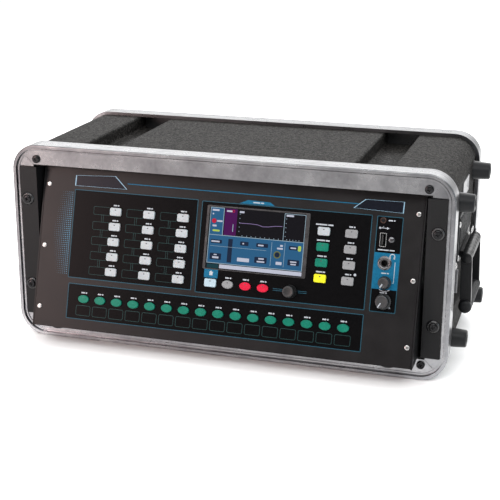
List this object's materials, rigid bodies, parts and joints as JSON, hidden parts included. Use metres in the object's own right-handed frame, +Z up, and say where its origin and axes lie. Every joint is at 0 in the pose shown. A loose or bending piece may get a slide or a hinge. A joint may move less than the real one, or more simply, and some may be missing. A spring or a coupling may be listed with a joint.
{
  "type": "rack mixing console",
  "caption": "Rack mixing console with a tilted key panel, touch screen and knobs, screwed into a moulded carry case with aluminium edge frames and drop handles.",
  "frame": {"origin": "bottom centre of the whole object's box, on the surface the case stands on", "axes": "+X to the object's right seen from the front, +Y back into its depth, +Z up; the panel faces -Y"},
  "size_m": [0.5286, 0.2628, 0.227],
  "materials": {
    "case_plastic": "pebble grain",
    "valance_aluminium": "satin extrusion",
    "rail_steel": "black powder coat",
    "screw_steel": "black zinc, silver on the panel",
    "rubber": "matt",
    "handle_black": "satin black",
    "panel_black": "satin black with teal print",
    "chassis_black": "satin black",
    "screen_glass": "glossy cover over a colour display",
    "socket_metal": "nickel",
    "circuit_green": "solder mask",
    "key_white": "satin",
    "key_green": "satin translucent",
    "key_red": "satin translucent",
    "key_yellow": "satin translucent",
    "key_grey": "satin",
    "key_blue_grey": "satin",
    "knob_grey": "satin with a white pointer"
  },
  "bodies": {
    "case": {"case_shell": "case_plastic", "valance_set": "valance_aluminium", "rack_rails": "rail_steel", "screws": "screw_steel", "rubber_feet": "rubber", "handle_brackets": "handle_black", "front_panel": "panel_black", "mixer_chassis": "chassis_black", "rack_ears": "chassis_black", "touch_screen": "screen_glass", "front_sockets": "socket_metal", "electronics": "circuit_green"},
    "soft_key_01": {"soft_key_01": "key_white"},
    "soft_key_02": {"soft_key_02": "key_white"},
    "soft_key_03": {"soft_key_03": "key_white"},
    "soft_key_04": {"soft_key_04": "key_white"},
    "soft_key_05": {"soft_key_05": "key_white"},
    "soft_key_06": {"soft_key_06": "key_white"},
    "soft_key_07": {"soft_key_07": "key_white"},
    "soft_key_08": {"soft_key_08": "key_white"},
    "soft_key_09": {"soft_key_09": "key_white"},
    "soft_key_10": {"soft_key_10": "key_white"},
    "soft_key_11": {"soft_key_11": "key_white"},
    "soft_key_12": {"soft_key_12": "key_white"},
    "soft_key_13": {"soft_key_13": "key_white"},
    "soft_key_14": {"soft_key_14": "key_white"},
    "soft_key_15": {"soft_key_15": "key_white"},
    "select_key_01": {"select_key_01": "key_green"},
    "select_key_02": {"select_key_02": "key_green"},
    "select_key_03": {"select_key_03": "key_green"},
    "select_key_04": {"select_key_04": "key_green"},
    "select_key_05": {"select_key_05": "key_green"},
    "select_key_06": {"select_key_06": "key_green"},
    "select_key_07": {"select_key_07": "key_green"},
    "select_key_08": {"select_key_08": "key_green"},
    "select_key_09": {"select_key_09": "key_green"},
    "select_key_10": {"select_key_10": "key_green"},
    "select_key_11": {"select_key_11": "key_green"},
    "select_key_12": {"select_key_12": "key_green"},
    "select_key_13": {"select_key_13": "key_green"},
    "select_key_14": {"select_key_14": "key_green"},
    "select_key_15": {"select_key_15": "key_green"},
    "select_key_16": {"select_key_16": "key_green"},
    "column_a_key_1": {"column_a_key_1": "key_white"},
    "column_a_key_2": {"column_a_key_2": "key_green"},
    "column_a_key_3": {"column_a_key_3": "key_green"},
    "column_a_key_4": {"column_a_key_4": "key_yellow"},
    "column_b_key_1": {"column_b_key_1": "key_grey"},
    "column_b_key_2": {"column_b_key_2": "key_grey"},
    "column_b_key_3": {"column_b_key_3": "key_grey"},
    "column_b_key_4": {"column_b_key_4": "key_grey"},
    "home_key": {"home_key": "key_blue_grey"},
    "copy_key": {"copy_key": "key_grey"},
    "paste_key": {"paste_key": "key_red"},
    "reset_key": {"reset_key": "key_red"},
    "encoder_knob": {"encoder_knob": "knob_grey"},
    "headphone_knob": {"headphone_knob": "knob_grey"},
    "level_knob": {"level_knob": "knob_grey"},
    "handle_left": {"handle_left": "handle_black"},
    "handle_right": {"handle_right": "handle_black"}
  },
  "joints": [
    {"name": "soft_key_01_press", "type": "slide", "parent": "case", "child": "soft_key_01", "axis": [0, 0.9578, -0.2874], "range_m": [0, 0.0012], "stiffness_N_per_m": 400, "springref_m": -0.002},
    {"name": "soft_key_02_press", "type": "slide", "parent": "case", "child": "soft_key_02", "axis": [0, 0.9578, -0.2874], "range_m": [0, 0.0012], "stiffness_N_per_m": 400, "springref_m": -0.002},
    {"name": "soft_key_03_press", "type": "slide", "parent": "case", "child": "soft_key_03", "axis": [0, 0.9578, -0.2874], "range_m": [0, 0.0012], "stiffness_N_per_m": 400, "springref_m": -0.002},
    {"name": "soft_key_04_press", "type": "slide", "parent": "case", "child": "soft_key_04", "axis": [0, 0.9578, -0.2874], "range_m": [0, 0.0012], "stiffness_N_per_m": 400, "springref_m": -0.002},
    {"name": "soft_key_05_press", "type": "slide", "parent": "case", "child": "soft_key_05", "axis": [0, 0.9578, -0.2874], "range_m": [0, 0.0012], "stiffness_N_per_m": 400, "springref_m": -0.002},
    {"name": "soft_key_06_press", "type": "slide", "parent": "case", "child": "soft_key_06", "axis": [0, 0.9578, -0.2874], "range_m": [0, 0.0012], "stiffness_N_per_m": 400, "springref_m": -0.002},
    {"name": "soft_key_07_press", "type": "slide", "parent": "case", "child": "soft_key_07", "axis": [0, 0.9578, -0.2874], "range_m": [0, 0.0012], "stiffness_N_per_m": 400, "springref_m": -0.002},
    {"name": "soft_key_08_press", "type": "slide", "parent": "case", "child": "soft_key_08", "axis": [0, 0.9578, -0.2874], "range_m": [0, 0.0012], "stiffness_N_per_m": 400, "springref_m": -0.002},
    {"name": "soft_key_09_press", "type": "slide", "parent": "case", "child": "soft_key_09", "axis": [0, 0.9578, -0.2874], "range_m": [0, 0.0012], "stiffness_N_per_m": 400, "springref_m": -0.002},
    {"name": "soft_key_10_press", "type": "slide", "parent": "case", "child": "soft_key_10", "axis": [0, 0.9578, -0.2874], "range_m": [0, 0.0012], "stiffness_N_per_m": 400, "springref_m": -0.002},
    {"name": "soft_key_11_press", "type": "slide", "parent": "case", "child": "soft_key_11", "axis": [0, 0.9578, -0.2874], "range_m": [0, 0.0012], "stiffness_N_per_m": 400, "springref_m": -0.002},
    {"name": "soft_key_12_press", "type": "slide", "parent": "case", "child": "soft_key_12", "axis": [0, 0.9578, -0.2874], "range_m": [0, 0.0012], "stiffness_N_per_m": 400, "springref_m": -0.002},
    {"name": "soft_key_13_press", "type": "slide", "parent": "case", "child": "soft_key_13", "axis": [0, 0.9578, -0.2874], "range_m": [0, 0.0012], "stiffness_N_per_m": 400, "springref_m": -0.002},
    {"name": "soft_key_14_press", "type": "slide", "parent": "case", "child": "soft_key_14", "axis": [0, 0.9578, -0.2874], "range_m": [0, 0.0012], "stiffness_N_per_m": 400, "springref_m": -0.002},
    {"name": "soft_key_15_press", "type": "slide", "parent": "case", "child": "soft_key_15", "axis": [0, 0.9578, -0.2874], "range_m": [0, 0.0012], "stiffness_N_per_m": 400, "springref_m": -0.002},
    {"name": "select_key_01_press", "type": "slide", "parent": "case", "child": "select_key_01", "axis": [0, 0.9578, -0.2874], "range_m": [0, 0.0012], "stiffness_N_per_m": 400, "springref_m": -0.002},
    {"name": "select_key_02_press", "type": "slide", "parent": "case", "child": "select_key_02", "axis": [0, 0.9578, -0.2874], "range_m": [0, 0.0012], "stiffness_N_per_m": 400, "springref_m": -0.002},
    {"name": "select_key_03_press", "type": "slide", "parent": "case", "child": "select_key_03", "axis": [0, 0.9578, -0.2874], "range_m": [0, 0.0012], "stiffness_N_per_m": 400, "springref_m": -0.002},
    {"name": "select_key_04_press", "type": "slide", "parent": "case", "child": "select_key_04", "axis": [0, 0.9578, -0.2874], "range_m": [0, 0.0012], "stiffness_N_per_m": 400, "springref_m": -0.002},
    {"name": "select_key_05_press", "type": "slide", "parent": "case", "child": "select_key_05", "axis": [0, 0.9578, -0.2874], "range_m": [0, 0.0012], "stiffness_N_per_m": 400, "springref_m": -0.002},
    {"name": "select_key_06_press", "type": "slide", "parent": "case", "child": "select_key_06", "axis": [0, 0.9578, -0.2874], "range_m": [0, 0.0012], "stiffness_N_per_m": 400, "springref_m": -0.002},
    {"name": "select_key_07_press", "type": "slide", "parent": "case", "child": "select_key_07", "axis": [0, 0.9578, -0.2874], "range_m": [0, 0.0012], "stiffness_N_per_m": 400, "springref_m": -0.002},
    {"name": "select_key_08_press", "type": "slide", "parent": "case", "child": "select_key_08", "axis": [0, 0.9578, -0.2874], "range_m": [0, 0.0012], "stiffness_N_per_m": 400, "springref_m": -0.002},
    {"name": "select_key_09_press", "type": "slide", "parent": "case", "child": "select_key_09", "axis": [0, 0.9578, -0.2874], "range_m": [0, 0.0012], "stiffness_N_per_m": 400, "springref_m": -0.002},
    {"name": "select_key_10_press", "type": "slide", "parent": "case", "child": "select_key_10", "axis": [0, 0.9578, -0.2874], "range_m": [0, 0.0012], "stiffness_N_per_m": 400, "springref_m": -0.002},
    {"name": "select_key_11_press", "type": "slide", "parent": "case", "child": "select_key_11", "axis": [0, 0.9578, -0.2874], "range_m": [0, 0.0012], "stiffness_N_per_m": 400, "springref_m": -0.002},
    {"name": "select_key_12_press", "type": "slide", "parent": "case", "child": "select_key_12", "axis": [0, 0.9578, -0.2874], "range_m": [0, 0.0012], "stiffness_N_per_m": 400, "springref_m": -0.002},
    {"name": "select_key_13_press", "type": "slide", "parent": "case", "child": "select_key_13", "axis": [0, 0.9578, -0.2874], "range_m": [0, 0.0012], "stiffness_N_per_m": 400, "springref_m": -0.002},
    {"name": "select_key_14_press", "type": "slide", "parent": "case", "child": "select_key_14", "axis": [0, 0.9578, -0.2874], "range_m": [0, 0.0012], "stiffness_N_per_m": 400, "springref_m": -0.002},
    {"name": "select_key_15_press", "type": "slide", "parent": "case", "child": "select_key_15", "axis": [0, 0.9578, -0.2874], "range_m": [0, 0.0012], "stiffness_N_per_m": 400, "springref_m": -0.002},
    {"name": "select_key_16_press", "type": "slide", "parent": "case", "child": "select_key_16", "axis": [0, 0.9578, -0.2874], "range_m": [0, 0.0012], "stiffness_N_per_m": 400, "springref_m": -0.002},
    {"name": "column_a_key_1_press", "type": "slide", "parent": "case", "child": "column_a_key_1", "axis": [0, 0.9578, -0.2874], "range_m": [0, 0.0012], "stiffness_N_per_m": 400, "springref_m": -0.002},
    {"name": "column_a_key_2_press", "type": "slide", "parent": "case", "child": "column_a_key_2", "axis": [0, 0.9578, -0.2874], "range_m": [0, 0.0012], "stiffness_N_per_m": 400, "springref_m": -0.002},
    {"name": "column_a_key_3_press", "type": "slide", "parent": "case", "child": "column_a_key_3", "axis": [0, 0.9578, -0.2874], "range_m": [0, 0.0012], "stiffness_N_per_m": 400, "springref_m": -0.002},
    {"name": "column_a_key_4_press", "type": "slide", "parent": "case", "child": "column_a_key_4", "axis": [0, 0.9578, -0.2874], "range_m": [0, 0.0012], "stiffness_N_per_m": 400, "springref_m": -0.002},
    {"name": "column_b_key_1_press", "type": "slide", "parent": "case", "child": "column_b_key_1", "axis": [0, 0.9578, -0.2874], "range_m": [0, 0.0012], "stiffness_N_per_m": 400, "springref_m": -0.002},
    {"name": "column_b_key_2_press", "type": "slide", "parent": "case", "child": "column_b_key_2", "axis": [0, 0.9578, -0.2874], "range_m": [0, 0.0012], "stiffness_N_per_m": 400, "springref_m": -0.002},
    {"name": "column_b_key_3_press", "type": "slide", "parent": "case", "child": "column_b_key_3", "axis": [0, 0.9578, -0.2874], "range_m": [0, 0.0012], "stiffness_N_per_m": 400, "springref_m": -0.002},
    {"name": "column_b_key_4_press", "type": "slide", "parent": "case", "child": "column_b_key_4", "axis": [0, 0.9578, -0.2874], "range_m": [0, 0.0012], "stiffness_N_per_m": 400, "springref_m": -0.002},
    {"name": "home_key_press", "type": "slide", "parent": "case", "child": "home_key", "axis": [0, 0.9578, -0.2874], "range_m": [0, 0.0012], "stiffness_N_per_m": 400, "springref_m": -0.002},
    {"name": "copy_key_press", "type": "slide", "parent": "case", "child": "copy_key", "axis": [0, 0.9578, -0.2874], "range_m": [0, 0.0012], "stiffness_N_per_m": 400, "springref_m": -0.002},
    {"name": "paste_key_press", "type": "slide", "parent": "case", "child": "paste_key", "axis": [0, 0.9578, -0.2874], "range_m": [0, 0.0012], "stiffness_N_per_m": 400, "springref_m": -0.002},
    {"name": "reset_key_press", "type": "slide", "parent": "case", "child": "reset_key", "axis": [0, 0.9578, -0.2874], "range_m": [0, 0.0012], "stiffness_N_per_m": 400, "springref_m": -0.002},
    {"name": "encoder_knob_turn", "type": "hinge", "parent": "case", "child": "encoder_knob", "pos_m": [0.0806, -0.11173, 0.09091], "axis": [0, 0.9578, -0.2874], "continuous": true},
    {"name": "headphone_knob_turn", "type": "hinge", "parent": "case", "child": "headphone_knob", "pos_m": [0.181, -0.10621, 0.1093], "axis": [0, 0.9578, -0.2874], "range_deg": [0, 300]},
    {"name": "level_knob_turn", "type": "hinge", "parent": "case", "child": "level_knob", "pos_m": [0.1812, -0.11187, 0.09043], "axis": [0, 0.9578, -0.2874], "range_deg": [0, 300]},
    {"name": "handle_right_swing", "type": "hinge", "parent": "case", "child": "handle_right", "pos_m": [0.255, 0.02044, 0.1185], "axis": [0, -1, 0], "range_deg": [0, 95]},
    {"name": "handle_left_swing", "type": "hinge", "parent": "case", "child": "handle_left", "pos_m": [-0.255, 0.02044, 0.1185], "axis": [0, 1, 0], "range_deg": [0, 95]}
  ]
}
